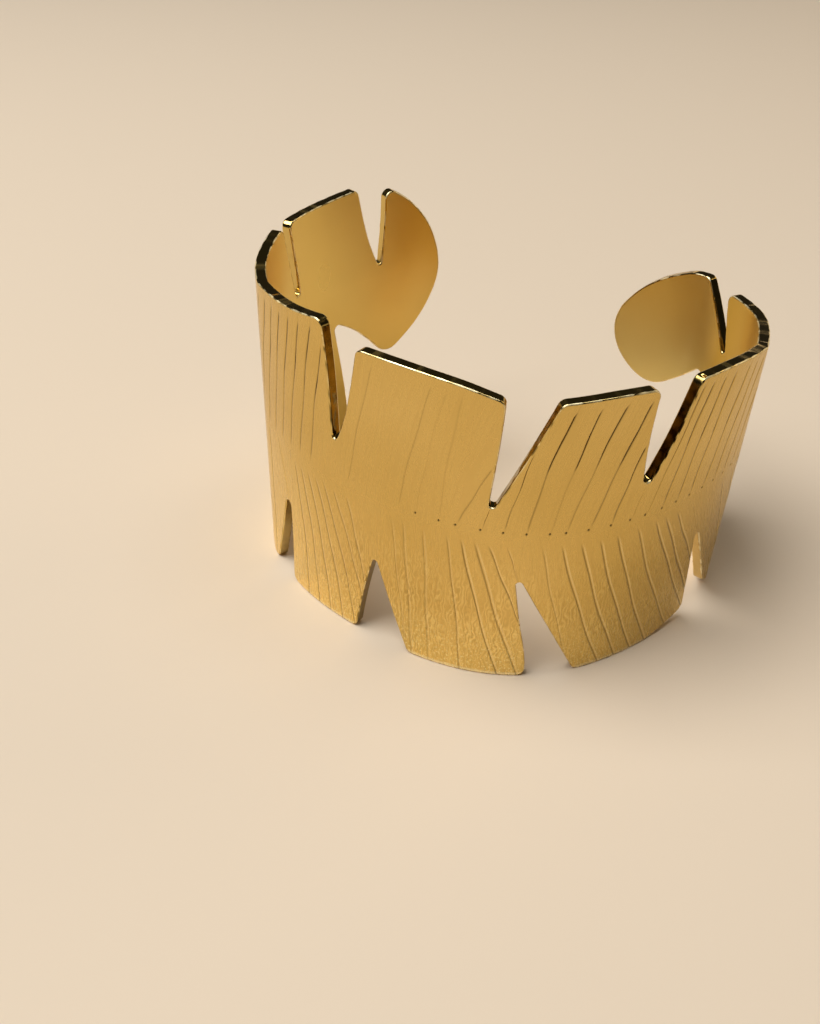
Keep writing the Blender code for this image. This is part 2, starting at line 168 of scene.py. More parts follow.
# Engraved veins, one row for each fan of evenly spaced lines that run from the midrib to the edge;
# a line of strength 0 only guides the columns of the grid beside a notch
UPPER_FANS = (
    # grooves, foot: first along, last along; tip: first along, last along, up; bow, line, stroke
    (3, 0.016, 0.044, 0.020, 0.048, 0.88, 0.0, 0.3, 0.5),
    (5, 0.078, 0.152, 0.102, 0.171, 0.97, -0.3, 0.3, 0.6),
    (1, 0.160, 0.160, 0.1745, 0.1745, 0.83, 0.0, 0.0, 0.0),
    (1, 0.1655, 0.1655, 0.173, 0.173, 0.79, 0.0, 0.0, 0.0),
    (14, 0.182, 0.360, 0.206, 0.378, 0.94, -0.2, 0.30, 0.22),
    (1, 0.401, 0.401, 0.426, 0.426, 0.95, -0.2, 0.14, 0.0),
    (1, 0.449, 0.449, 0.474, 0.474, 0.95, -0.3, 0.14, 0.0),
    (1, 0.464, 0.464, 0.485, 0.485, 0.95, -0.3, 0.05, 0.0),
    (1, 0.483, 0.483, 0.4965, 0.4965, 0.95, -0.3, 0.06, 0.0),
    (1, 0.496, 0.496, 0.522, 0.522, 0.75, -0.2, 0.22, 0.0),
    (1, 0.5148, 0.5148, 0.520, 0.520, 0.60, 0.0, 0.4, 0.0),
    (1, 0.5315, 0.5315, 0.550, 0.550, 0.83, -0.2, 0.30, 0.3),
    (1, 0.5484, 0.5484, 0.574, 0.574, 0.92, -0.6, 0.28, 1.2),
    (1, 0.5655, 0.5655, 0.592, 0.592, 0.93, -0.4, 0.12, 1.2),
    (1, 0.5775, 0.5775, 0.611, 0.611, 0.92, -0.5, 0.22, 1.2),
    (1, 0.5950, 0.5950, 0.632, 0.632, 0.92, -0.4, 0.30, 1.2),
    (1, 0.6132, 0.6132, 0.635, 0.635, 0.81, -0.3, 0.35, 0.8),
    (1, 0.6300, 0.6300, 0.6375, 0.6375, 0.62, 0.0, 0.45, 0.0),
    (1, 0.6440, 0.6440, 0.676, 0.676, 0.87, -0.4, 0.50, 1.1),
    (3, 0.6605, 0.6905, 0.690, 0.7165, 0.91, -0.4, 0.35, 1.2),
    (11, 0.706, 0.8520, 0.731, 0.8720, 0.84, -0.4, 0.35, 1.1),
    (1, 0.866, 0.866, 0.8752, 0.8752, 0.71, 0.0, 0.0, 0.0),
    (1, 0.8705, 0.8705, 0.8742, 0.8742, 0.68, 0.0, 0.0, 0.0),
    (3, 0.906, 0.946, 0.928, 0.962, 0.74, 0.0, 0.3, 0.5),
)
LOWER_FANS = (
    (3, 0.024, 0.058, 0.028, 0.060, 0.44, 0.0, 0.3, 0.0),
    (1, 0.112, 0.112, 0.112, 0.112, 0.50, 0.0, 0.0, 0.0),
    (1, 0.1285, 0.1285, 0.122, 0.122, 0.50, 0.0, 0.0, 0.0),
    (11, 0.138, 0.290, 0.114, 0.288, 0.04, 0.3, 0.5, 0.0),
    (1, 0.309, 0.309, 0.3275, 0.3275, 0.28, 0.1, 0.5, 0.0),
    (1, 0.3285, 0.3285, 0.3275, 0.3275, 0.22, 0.3, 0.0, 0.0),
    (5, 0.336, 0.372, 0.350, 0.407, 0.02, 0.6, 0.5, 0.0),
    (2, 0.383, 0.397, 0.413, 0.420, 0.17, 0.2, 0.4, 0.0),
    (1, 0.442, 0.442, 0.4525, 0.4525, 0.21, 0.0, 0.25, 0.0),
    (2, 0.453, 0.470, 0.465, 0.480, 0.01, 0.0, 0.3, 0.0),
    (1, 0.4885, 0.4885, 0.507, 0.507, 0.01, 0.2, 0.45, 0.0),
    (1, 0.4995, 0.4995, 0.5375, 0.5375, 0.01, -0.4, 0.65, 0.0),
    (1, 0.5095, 0.5095, 0.5525, 0.5525, 0.02, -0.3, 0.55, 0.0),
    (1, 0.5180, 0.5180, 0.552, 0.552, 0.20, 0.1, 0.6, 0.0),
    (1, 0.5330, 0.5330, 0.546, 0.546, 0.37, 0.0, 0.5, 0.0),
    (1, 0.5595, 0.5595, 0.589, 0.589, 0.11, -0.2, 0.35, 0.0),
    (4, 0.574, 0.6190, 0.624, 0.6745, 0.01, -0.5, 0.6, 0.0),
    (1, 0.6375, 0.6375, 0.700, 0.700, 0.015, -0.6, 0.55, 0.0),
    (1, 0.6545, 0.6545, 0.7225, 0.7225, 0.035, -0.4, 0.65, 0.0),
    (1, 0.6645, 0.6645, 0.7205, 0.7205, 0.12, -0.2, 0.65, 0.0),
    (1, 0.6760, 0.6760, 0.7185, 0.7185, 0.235, 0.0, 0.6, 0.0),
    (1, 0.6950, 0.6950, 0.714, 0.714, 0.37, 0.0, 0.5, 0.0),
    (9, 0.740, 0.878, 0.782, 0.888, 0.05, -0.3, 0.5, 0.0),
    (2, 0.915, 0.945, 0.920, 0.948, 0.47, 0.0, 0.3, 0.0),
)


def smooth(x):
    """Smooth step from 0 to 1: 3 x^2 - 2 x^3."""
    x = np.clip(x, 0, 1)
    return x * x * (3 - 2 * x)


def running_length(points):
    """Sum of the steps up to each point."""
    return np.concatenate([[0], np.cumsum(np.linalg.norm(np.diff(points, axis=0), axis=1))])


def crease_offset(share):
    """How far the wall stands out from the oval, in metres, at a share of the leaf's length.

    Before a fold's corner it swells by a smooth step and then rises as a square; behind it falls
    as (1 - x) squared to the dip and comes back by a smooth step.
    """
    out = np.zeros_like(share)
    for corner, swell_from, swell_to, swell, rise_from, peak, dip_at, dip, level in CREASES:
        rise = np.clip((share - rise_from) / (corner - rise_from), 0, 1) ** 2
        before = swell * smooth((share - swell_from) / (swell_to - swell_from)) + (peak - swell) * rise
        fall = 1 - np.clip((share - corner) / (dip_at - corner), 0, 1)
        behind = ((peak + dip) * fall ** 2 - dip) * (1 - smooth((share - dip_at) / (level - dip_at)))
        out += np.where(share < corner, before, behind)
    return np.convolve(out, np.ones(CREASE_ROUNDING) / CREASE_ROUNDING, "same") / 1000


def outward_normals(point, length):
    """Unit normals (dy, -dx) of a line that runs counterclockwise, from its derivative by length."""
    tangent = np.gradient(point, length, axis=0)
    normal = np.stack([tangent[:, 1], -tangent[:, 0]], axis=1)
    return normal / np.linalg.norm(normal, axis=1)[:, None]


def oval_table(steps=7200):
    """Points, outward normals and arc length round the oval, with its folds.

    At polar angle a the radius is that of an ellipse, 1 / hypot(cos a / half width, sin a / half
    depth), times 1 plus a few slow cosine and sine waves. Arc length counts from the front, -Y.
    The points are then moved along their normals by the offset of the folds.
    """
    angle = np.linspace(-2.5 * pi, 1.5 * pi, 2 * steps + 1)
    radius = 1 / np.hypot(np.cos(angle) / (OVAL_WIDTH / 2), np.sin(angle) / (OVAL_DEPTH / 2))
    radius *= 1 + sum(c * np.cos(n * angle) + s * np.sin(n * angle) for n, c, s in OVAL_WAVES)
    point = np.stack([radius * np.cos(angle), radius * np.sin(angle)], axis=1)
    length = running_length(point)
    length -= length[steps]
    offset = crease_offset(length / (length[-1] - GAP) + FRONT)
    point = point + outward_normals(point, length) * offset[:, None]
    return length, point, outward_normals(point, length)


OVAL = oval_table()
LEAF_LENGTH = OVAL[0][-1] - GAP


def bend(flat, depth):
    """Flat (along, up) points carried on to the oval: the wall point at that arc length, less
    depth times its outward normal, at the same height."""
    length, point, normal = OVAL
    x, y, nx, ny = (np.interp(flat[..., 0], length, column) for column in (*point.T, *normal.T))
    return np.stack([x - depth * nx, y - depth * ny, flat[..., 1] + 0 * depth], axis=-1)


def bezier(p0, p1, p2, p3, steps):
    """Cubic Bezier curve: (1-t)^3 p0 + 3(1-t)^2 t p1 + 3(1-t) t^2 p2 + t^3 p3, without its first point."""
    t = np.linspace(0, 1, steps + 1)[1:, None]
    return (1 - t) ** 3 * p0 + 3 * (1 - t) ** 2 * t * p1 + 3 * (1 - t) * t ** 2 * p2 + t ** 3 * p3


def side_points(knots):
    """A side as a smooth curve from one corner through its bows to the next corner: cubic Bezier
    spans whose handles lie along the line between the neighbouring knots, a third of a span long."""
    if len(knots) == 2:
        return knots
    slopes = knots[2:] - knots[:-2]
    slopes /= np.linalg.norm(slopes, axis=1)[:, None]
    points = [knots[:1]]
    for k, (start, end) in enumerate(zip(knots, knots[1:])):
        reach = np.linalg.norm(end - start) / 3
        arrive = end - slopes[k] * reach if k < len(slopes) else None
        leave = start + slopes[k - 1] * reach if k else start + (arrive - start) / 3
        if arrive is None:
            arrive = end + (leave - end) / 3
        points.append(bezier(start, leave, arrive, end, CURVE_STEPS))
    return np.vstack(points)


def trim_start(side, reach):
    """Cut a length off a side's start, and with it any point less than a twentieth further on."""
    run = running_length(side)
    first = np.array([np.interp(reach, run, column) for column in side.T])
    return np.vstack([first, side[run > reach * 1.05]])


def turn_angle(before, corner, after):
    """Angle between the way into a corner and the way out of it."""
    a, b = corner - before, after - corner
    return np.arccos(np.clip(a @ b / np.linalg.norm(a) / np.linalg.norm(b), -1, 1))


def rounded_turn(before, corner, after):
    """Circular arc between two trimmed sides, as a rational quadratic curve on their corner with
    the middle weight cos(turn / 2)."""
    turn = turn_angle(before, corner, after)
    t = np.linspace(0, 1, max(3, int(np.ceil(turn / ARC_STEP))) + 1)[1:-1, None]
    shares = (1 - t) ** 2, 2 * np.cos(turn / 2) * t * (1 - t), t ** 2
    return (shares[0] * before + shares[1] * corner + shares[2] * after) / sum(shares)


def leaf_outline():
    """Closed outline of the flat leaf, clockwise, with rounded turns; also which of its points
    are the bottoms of notches."""
    rows = np.array([((along - FRONT) * LEAF_LENGTH, up * HEIGHT) for along, up, _ in OUTLINE])
    turns = [row[2] for row in OUTLINE]
    corners = [k for k, turn in enumerate(turns) if turn != BOW]
    following = corners[1:] + [corners[0] + len(rows)]
    sides = [side_points(rows[np.arange(a, b + 1) % len(rows)]) for a, b in zip(corners, following)]
    reaches = [TURN_RADIUS[turns[c]] * np.tan(turn_angle(sides[k - 1][-2], rows[c], sides[k][1]) / 2)
               for k, c in enumerate(corners)]
    outline, roots = [], []
    for k, c in enumerate(corners):
        arriving = trim_start(sides[k - 1][::-1], reaches[k])
        kept = trim_start(trim_start(sides[k], reaches[k])[::-1], reaches[(k + 1) % len(corners)])[::-1]
        arc = rounded_turn(arriving[0], rows[c], kept[0])
        if turns[c] in (ROOT, WIDE_ROOT):
            roots.append(sum(map(len, outline)) + len(arc) // 2)
        outline += [arc, kept]
    return np.vstack(outline), roots


def divide_long_edges(outline, roots):
    """The same outline with evenly spaced points added, so that no edge is longer than EDGE_STEP;
    a third column marks the bottoms of notches."""
    edge = np.roll(outline, -1, axis=0) - outline
    count = np.maximum(1, np.ceil(np.linalg.norm(edge, axis=1) / EDGE_STEP)).astype(int)
    first = np.concatenate([[0], np.cumsum(count)[:-1]])
    share = (np.arange(count.sum()) - np.repeat(first, count)) / np.repeat(count, count)
    divided = np.repeat(outline, count, axis=0) + share[:, None] * np.repeat(edge, count, axis=0)
    mark = np.zeros(len(divided))
    mark[first[roots]] = 1
    return divided, mark


def inset(outline, distance):
    """Clockwise outline moved inward by a distance, each point along the mitre of its two edges."""
    edge = np.roll(outline, -1, axis=0) - outline
    edge /= np.linalg.norm(edge, axis=1)[:, None]
    inward = np.stack([edge[:, 1], -edge[:, 0]], axis=1)
    mitre = inward + np.roll(inward, 1, axis=0)
    return outline + mitre / np.sum(mitre * inward, axis=1)[:, None] * distance


def midrib_height(along):
    """Height of the line between the leaf's upper and lower halves: level, and near both ends
    raised by a smooth step so that it passes above the two deepest lower notches."""
    beyond = np.abs(along / LEAF_LENGTH + FRONT - 0.5) - MIDRIB_LEVEL
    return MIDRIB * HEIGHT + MIDRIB_RISE * smooth(beyond / (MIDRIB_RISEN - MIDRIB_LEVEL))


def cut_halves():
    """The outline in two parts, upper and lower, each from base end to tip end.

    Columns: along and up of the flat face's edge, along and up of the cut edge, notch mark. They
    part where the rounded ends cross the midrib line, a little apart, for the seam between them.
    """
    cut, mark = divide_long_edges(*leaf_outline())
    face = inset(cut, EDGE_BEVEL)
    table = np.column_stack([face, cut, mark])
    count = len(table)
    after = np.roll(face, -1, axis=0)

    def crossing(drop, side):
        """Place in the loop, in points and parts of a point, where an end crosses the line."""
        height = MIDRIB * HEIGHT + MIDRIB_RISE - drop
        hit = np.flatnonzero((face[:, 1] - height) * (after[:, 1] - height) < 0)
        k = hit[np.argmax(side * face[hit, 0])]
        return k + (height - face[k, 1]) / (after[k, 1] - face[k, 1])

    def stretch(first, last):
        """The loop's points between two places, and both places themselves."""
        whole = np.arange(int(np.ceil(first)), int(np.floor(last)) + 1)
        place = np.concatenate([[first], whole, [last]])
        low, part = np.floor(place).astype(int), (place % 1)[:, None]
        points = table[low % count] * (1 - part) + table[(low + 1) % count] * part
        points[[0, -1], 4] = 0
        return points

    upper = stretch(crossing(UPPER_DROP, -1) - count, crossing(UPPER_DROP, 1))
    lower = stretch(crossing(LOWER_DROP, 1), crossing(LOWER_DROP, -1))[::-1]
    return upper, lower


def read_edge(edge, run, first=0):
    """Two neighbouring columns of an edge table at given running lengths."""
    known = running_length(edge[:, :2])
    return np.stack([np.interp(run, known, edge[:, k]) for k in (first, first + 1)], axis=-1)


def vein_lines(edge, fans, drop):
    """Foot, running length at the edge, sine of the slant there, bow, line and stroke of each
    vein of one half: where the straight line from foot through tip first meets the edge."""
    rows = [(np.linspace(f0, f1, n), np.linspace(t0, t1, n), *np.tile([[up], [bow], [line], [stroke]], n))
            for n, f0, f1, t0, t1, up, bow, line, stroke in fans]
    foot, tip, tip_up, bow, line, stroke = (np.concatenate(column) for column in zip(*rows))
    foot, tip = (foot - FRONT) * LEAF_LENGTH, (tip - FRONT) * LEAF_LENGTH
    start = np.stack([foot, midrib_height(foot) - drop], axis=1)
    ray = np.stack([tip, tip_up * HEIGHT], axis=1) - start
    step = np.diff(edge[:, :2], axis=0)
    cross = ray[:, None, 0] * step[:, 1] - ray[:, None, 1] * step[:, 0]
    cross = np.where(np.abs(cross) < PARALLEL, PARALLEL, cross)
    offset = edge[None, :-1, :2] - start[:, None]
    far = (offset[..., 0] * step[:, 1] - offset[..., 1] * step[:, 0]) / cross
    share = (offset[..., 0] * ray[:, None, 1] - offset[..., 1] * ray[:, None, 0]) / cross
    hit = (share >= 0) & (share <= 1) & (far > FOOT_CLEAR)
    first = np.argmin(np.where(hit, far, np.inf), axis=1)
    each = np.arange(len(foot))
    size = np.linalg.norm(step, axis=1)
    run = running_length(edge[:, :2])[first] + share[each, first] * size[first]
    sine = np.abs(cross[each, first]) / np.linalg.norm(ray, axis=1) / size[first]
    lines = np.column_stack([foot, run, sine, bow / 1000, line, stroke])
    return lines[np.argsort(run)]


def grid_columns(edge, lines, pits):
    """Columns of one half's grid, each a curve from the midrib to the edge.

    A column's running length on the edge gives its foot, by straight interpolation between the
    veins and the notches, whose feet lie right above or below them where the veins leave room. A
    few columns cross each groove, pit and fold. Returns foot, running length, bow, place across
    the nearest groove in half widths, and that vein's line and stroke strength.
    """
    run = running_length(edge[:, :2])
    roots = run[edge[:, 4] > 0.5]
    feet = np.concatenate([edge[:1, 0], lines[:, 0], edge[-1:, 0]])
    runs = np.concatenate([[0], lines[:, 1], run[-1:]])
    after = np.searchsorted(runs, roots)
    room = (feet[after] - feet[after - 1]) / 10
    root_feet = np.clip(edge[edge[:, 4] > 0.5, 0], feet[after - 1] + room, feet[after] - room)
    order = np.argsort(np.concatenate([runs, roots]))
    known_run = np.concatenate([runs, roots])[order]
    known_foot = np.maximum.accumulate(np.concatenate([feet, root_feet])[order])

    # across each groove, no wider than the room between its neighbours
    is_line = np.isin(known_run[1:-1], lines[:, 1])
    run_room, foot_room = (ROOM_SHARE * np.minimum(np.diff(known[:-1]), np.diff(known[1:]))[is_line]
                           for known in (known_run, known_foot))
    reach = GROOVE_ACROSS[-1] * VEIN_WIDTH / 2
    side = np.minimum(reach / np.maximum(lines[:, 2], LEAST_SINE), run_room)[:, None]
    foot_side = np.minimum(reach, foot_room)[:, None]
    spread = GROOVE_ACROSS / GROOVE_ACROSS[-1]

    # the outline's own points, the folds and the pits, where they are clear of the grooves' sides
    fold = np.array([(row[0] - FRONT) * LEAF_LENGTH for row in CREASES])
    fold_run = run[np.abs(edge[:, 0] - fold[:, None]).argmin(axis=1)][:, None] + CREASE_COLUMNS
    edge_run = np.concatenate([run, fold_run.ravel()])
    pit_foot = (pits[:, None] + PIT_ACROSS * PIT_WIDTH / 2).ravel()
    pit_run = np.interp(pit_foot, known_foot + TIE_STEP * np.arange(len(known_foot)), known_run)
    plain_run = np.concatenate([edge_run, pit_run])
    plain_foot = np.concatenate([np.interp(edge_run, known_run, known_foot), pit_foot])
    keep = (np.abs(plain_run[:, None] - lines[:, 1]) / side[:, 0]).min(axis=1) > 1.05
    keep[[0, len(run) - 1]] = True

    foot = np.concatenate([plain_foot[keep], (lines[:, :1] + foot_side * spread).ravel()])
    along_edge = np.concatenate([plain_run[keep], (lines[:, 1:2] + side * spread).ravel()])
    across = np.concatenate([np.full(keep.sum(), PLAIN), np.tile(GROOVE_ACROSS, len(lines))])
    strengths = np.vstack([np.zeros((keep.sum(), 2)), np.repeat(lines[:, 4:6], len(GROOVE_ACROSS), axis=0)])
    order = np.argsort(along_edge, kind="stable")
    foot = np.maximum.accumulate(foot[order])
    away = np.abs(foot[:, None] - np.concatenate([root_feet, feet[[0, -1]]])).min(axis=1)
    bow = np.interp(foot, lines[:, 0], lines[:, 3]) * smooth(away / BOW_ROOM)
    return foot, along_edge[order], bow, across[order], strengths[order]


def rows_along(length, near_rows, mid_rows):
    """Distances along each column: near the midrib in steps of NEAR_STEP, then even steps, and one
    last row close to the edge, which keeps the face flat up to its bevel."""
    step = np.minimum(NEAR_STEP, 0.3 * length / max(near_rows, 1))[:, None]
    near = step * np.arange(near_rows)
    start = step * near_rows
    last = (length - np.minimum(EDGE_FLAT, 0.1 * length))[:, None]
    middle = start + (last - start) * np.linspace(0, 1, mid_rows)
    return np.hstack([near, middle, length[:, None]])


def half_grid(edge, foot, run, bow, drop, near_rows, mid_rows):
    """Flat points of one half, columns by rows: foot + (edge point - foot) * share, moved along by
    4 share (1 - share) times the bow and a sine wave. Also each one's distance from its foot, and
    the share."""
    start = np.stack([foot, midrib_height(foot) - drop], axis=1)
    end = read_edge(edge, run)
    start[[0, -1]] = end[[0, -1]]
    length = np.linalg.norm(end - start, axis=1)
    distance = rows_along(length, near_rows, mid_rows)
    part = distance / np.maximum(length, 1e-9)[:, None]
    flat = start[:, None] + part[..., None] * (end - start)[:, None]
    arch = 4 * part * (1 - part)
    waver = VEIN_WAVE * np.sin(2 * pi * (1.7 * part + foot[:, None] / WAVE_PERIOD))
    flat[..., 0] += arch * (bow[:, None] + waver * smooth(length / (0.3 * HEIGHT))[:, None])
    return flat, distance, part


def grid_faces(numbers):
    """Quads between neighbouring columns and rows of a grid of point numbers."""
    corners = numbers[:-1, :-1], numbers[1:, :-1], numbers[1:, 1:], numbers[:-1, 1:]
    return np.stack(corners, axis=-1).reshape(-1, 4)


def seam_faces(upper, upper_at, lower, lower_at):
    """Triangles between two rows of points: every step goes on to whichever row's next point
    comes first."""
    order = np.argsort(np.concatenate([upper_at[1:], lower_at[1:]]), kind="stable")
    on_upper = order < len(upper) - 1
    i = np.cumsum(on_upper) - on_upper
    j = np.cumsum(~on_upper) - ~on_upper
    i, j = np.minimum(i, len(upper) - 1), np.minimum(j, len(lower) - 1)
    next_upper = upper[np.minimum(i + 1, len(upper) - 1)]
    next_lower = lower[np.minimum(j + 1, len(lower) - 1)]
    third = np.where(on_upper, next_upper, next_lower)
    return np.stack([upper[i], lower[j], third], axis=-1)


def wall_shade(edge, run, shades):
    """Painted shade of the cut edge at running lengths: the value of the nearest notch's left or
    right wall times a smooth step of the edge's steepness."""
    known = running_length(edge[:, :2])
    roots = known[edge[:, 4] > 0.5]
    values = np.array(shades)[:, 1:]
    nearest = np.argmin(np.abs(run[:, None] - roots), axis=1)
    value = values[nearest, (run > roots[nearest]).astype(int)]
    slope = np.abs(np.gradient(read_edge(edge, run)[:, 1], run + TIE_STEP * np.arange(len(run))))
    return value * smooth((slope - 0.5) / 0.3)


def unevenness(run):
    """Slow uneven change along the hand-finished edge: a sum of three sine waves, from -1 to 1."""
    waves = ((0.0019, 0.3, 0.4), (0.0031, 1.9, 0.35), (0.0073, 4.1, 0.25))
    return sum(share * np.sin(2 * pi * run / period + start) for period, start, share in waves)


def edge_profile():
    """Section of the cut edge from the outer face to the inner one, without its two ends: share of
    the bevel outward, and depth. Two quarter rounds of radius EDGE_BEVEL with a flat between."""
    turn = np.linspace(0, pi / 2, BEVEL_STEPS + 1)[1:]
    outward, depth = np.sin(turn), EDGE_BEVEL * (1 - np.cos(turn))
    flat = EDGE_BEVEL + EDGE_FLAT
    outward = np.concatenate([outward, [1, 1], outward[::-1]])
    depth = np.concatenate([depth, [flat, WALL - flat], WALL - depth[::-1]])
    return outward, depth


def engraving(half, foot, across, strengths, flat, distance, part):
    """Depth and darkness of the outer face's points.

    Along a vein the line's strength grows by a smooth step of the distance from the seam, and
    the stroke's by one of the share of the length, times 0.75 plus half the product of two sine
    waves, which breaks it up. Both multiply the groove's section at the column. A pit's depth is
    exp(-2.5 (distance / half width)^2). The deeper of the two counts.
    """
    begin = half["begin"] * smooth((foot / LEAF_LENGTH + FRONT - EARLY_UNTIL) / EARLY_FADE)[:, None]
    line = strengths[:, :1] * smooth((distance - begin) / VEIN_FADE)
    place = foot[:, None]
    broken = 0.75 + 0.5 * np.sin(place * 2900 + 9 * part) * np.sin(place * 1700 + 23 * part)
    stroke = strengths[:, 1:] * smooth((part - 0.5) / 0.14) * broken
    if len(half["pits"]):
        short = 1 - smooth((part - SHORT_OF_EDGE) / 0.012)
        line, stroke = line * (0.15 + 0.85 * short), stroke * short
    section, line_tone, stroke_tone = (np.interp(across, GROOVE_ACROSS, values)[:, None]
                                       for values in (GROOVE_SHAPE, GROOVE_TONE, STROKE_TONE))
    depth = VEIN_DEPTH * (half["fine"] * line + 0.5 * stroke) * section
    tone = line * line_tone
    tone = np.where(tone > 0, half["fine"] * tone, tone)
    tone = np.minimum(tone + stroke * stroke_tone, 1)
    if len(half["pits"]):
        nearest = half["pits"][np.argmin(np.abs(flat[..., 0, None] - half["pits"]), axis=-1)]
        away = np.hypot(flat[..., 0] - nearest, flat[..., 1] - midrib_height(nearest))
        pit = np.exp(-2.5 * (away / (PIT_WIDTH / 2)) ** 2)
        depth, tone = np.maximum(depth, PIT_DEPTH * pit), np.maximum(tone, np.minimum(1.8 * pit, 1))
    depth[[0, -1]] = 0
    return depth, tone


def cut_ring(half, run, rim_depth):
    """Flat points, depth and tone of the cut edge, columns by rows of its section.

    The outer bevel is up to 0.4 times deeper or shallower along the unevenness, and follows the
    grooves that run out over it. Tone is positive where shade is painted on the notches' side
    walls and in dashes on their outer bevels, and negative where pale highlights are painted on
    the bevels.
    """
    face_edge, cut_edge = read_edge(half["edge"], run), read_edge(half["edge"], run, 2)
    out = cut_edge - face_edge
    out *= EDGE_BEVEL / np.linalg.norm(out, axis=1)[:, None]
    outward, sunk = edge_profile()
    flat = face_edge[:, None] + out[:, None] * outward[:, None]
    wave = unevenness(run)[:, None]
    outer_bevel = sunk < EDGE_BEVEL
    depth = np.maximum(sunk * (1 + 0.4 * wave * outer_bevel), np.minimum(rim_depth, WALL / 2))
    # painted shade on the notches' side walls, from the table of shades
    shade = wall_shade(half["edge"], run, half["shades"])[:, None]
    # strength of the painted highlight on the bevels: stronger along the unevenness, weaker on shaded walls
    painted_bevel_highlight = (0.3 + 0.7 * smooth((wave + 0.35) / 0.7)) * (1 - 0.6 * shade)
    # painted shade in dashes on the outer bevel of shaded walls, where the edge's unevenness is high
    painted_shade_dashes = 2.4 * shade * smooth((wave - 0.1) / 0.2) * outer_bevel
    tone = np.where(np.minimum(sunk, WALL - sunk) < 0.9 * EDGE_BEVEL, painted_shade_dashes - painted_bevel_highlight, shade)
    return flat, depth, tone


class Surface:
    """Points and faces of the leaf's grids, gathered into one mesh."""

    def __init__(self):
        self.points, self.flats, self.grains, self.tones = [], [], [], []
        self.faces, self.materials = [], []
        self.count = 0

    def add_grid(self, flat, depth, tone, lane):
        """Bend a grid of flat points on to the oval, and return its points' numbers."""
        numbers = self.count + np.arange(depth.size).reshape(depth.shape)
        self.points.append(bend(flat, depth).reshape(-1, 3))
        self.flats.append(flat.reshape(-1, 2))
        self.grains.append(np.stack([lane[:, None] + 0 * flat[..., 1], flat[..., 1]], axis=-1).reshape(-1, 2))
        self.tones.append((tone + np.zeros(depth.shape)).ravel())
        self.count += depth.size
        return numbers

    def add_faces(self, faces, material):
        """Add faces of point numbers, all of one material."""
        self.faces.extend(faces.tolist())
        self.materials.append(np.full(len(faces), material))

    def mesh(self, name):
        """One mesh with the flat leaf and the veins' lanes as UV maps, and the tone at its points."""
        mesh = bpy.data.meshes.new(name)
        position = np.vstack(self.points)
        position += [*OVAL_CENTRE, -position[:, 2].min()]
        mesh.from_pydata(position, [], self.faces)
        mesh.polygons.foreach_set("material_index", np.concatenate(self.materials).astype(np.int32))
        corner_vertex = np.zeros(len(mesh.loops), dtype=np.int32)
        mesh.loops.foreach_get("vertex_index", corner_vertex)
        for uv_name, table in (("leaf", np.vstack(self.flats)), ("grain", np.vstack(self.grains))):
            uv = mesh.uv_layers.new(name=uv_name)
            uv.data.foreach_set("uv", (table[corner_vertex] / UV_UNIT).astype(np.float32).ravel())
        tone = mesh.attributes.new("tone", "FLOAT", "POINT")
        tone.data.foreach_set("value", np.concatenate(self.tones).astype(np.float32))
        return mesh


def leaf_halves():
    """What the upper and the lower half are made from."""
    upper_edge, lower_edge = cut_halves()
    upper_lines = vein_lines(upper_edge, UPPER_FANS, UPPER_DROP)
    lower_lines = vein_lines(lower_edge, LOWER_FANS, LOWER_DROP)
    pits = upper_lines[upper_lines[:, 4] > 0, 0]
    share = pits / LEAF_LENGTH + FRONT
    pits = pits[(share > PITS_FROM) & (share < PITS_TO)]
    return (
        {"edge": upper_edge, "lines": upper_lines, "drop": UPPER_DROP, "near_rows": NEAR_ROWS, "pits": pits,
         "begin": UPPER_DROP, "shades": UPPER_SHADE, "fine": 1.0},
        {"edge": lower_edge, "lines": lower_lines, "drop": LOWER_DROP, "near_rows": 0, "pits": pits[:0],
         "begin": VEIN_START, "shades": LOWER_SHADE, "fine": 0.6},
    )


def leaf_mesh():
    """The whole finished leaf as one closed surface: outer face, inner face and cut edge.

    Each face is a grid for each half, carried on to the oval: point(along, up) - depth * normal.
    """
    surface = Surface()
    rims, outer_seam, inner_seam = [], [], []
    for half in leaf_halves():
        foot, run, bow, across, strengths = grid_columns(half["edge"], half["lines"], half["pits"])
        columns = half["edge"], foot, run, bow, half["drop"]
        flat, distance, part = half_grid(*columns, half["near_rows"], OUTER_ROWS)
        depth, tone = engraving(half, foot, across, strengths, flat, distance, part)
        lane = 0.5 * (foot + flat[:, -1, 0])
        outer = surface.add_grid(flat, depth, tone, lane)
        surface.add_faces(grid_faces(outer), OUTSIDE)
        inner_flat = half_grid(*columns, 0, INNER_ROWS)[0]
        inner = surface.add_grid(inner_flat, np.full(inner_flat.shape[:2], WALL), 0, lane)
        surface.add_faces(grid_faces(inner), INSIDE)
        ring = surface.add_grid(*cut_ring(half, run, depth[:, -1:]), lane)
        rims.append(np.hstack([outer[:, -1:], ring, inner[:, -1:]]))
        outer_seam += [outer[:, 0], foot]
        inner_seam += [inner[:, 0], foot]

    surface.add_faces(seam_faces(*outer_seam), OUTSIDE)
    surface.add_faces(seam_faces(*inner_seam), INSIDE)
    loop = np.vstack([rims[0], rims[1][::-1]])
    after = np.roll(loop, -1, axis=0)
    quads = np.stack([loop[:, :-1], after[:, :-1], after[:, 1:], loop[:, 1:]], axis=-1)
    surface.add_faces(quads.reshape(-1, 4), CUT_EDGE)
    return close_surface(surface.mesh("leaf_cuff"))


def close_surface(mesh):
    """Merge the points that coincide at the rounded ends and turn every face outward."""
    shell = bmesh.new()
    shell.from_mesh(mesh)
    bmesh.ops.remove_doubles(shell, verts=shell.verts, dist=2e-7)
    bmesh.ops.recalc_face_normals(shell, faces=shell.faces)
    shell.to_mesh(mesh)
    shell.free()
    mesh.shade_smooth()
    return mesh


leaf = bpy.data.objects.new("leaf_cuff", leaf_mesh())
bpy.context.scene.collection.objects.link(leaf)
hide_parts("cuff_band")
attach(leaf, "root")


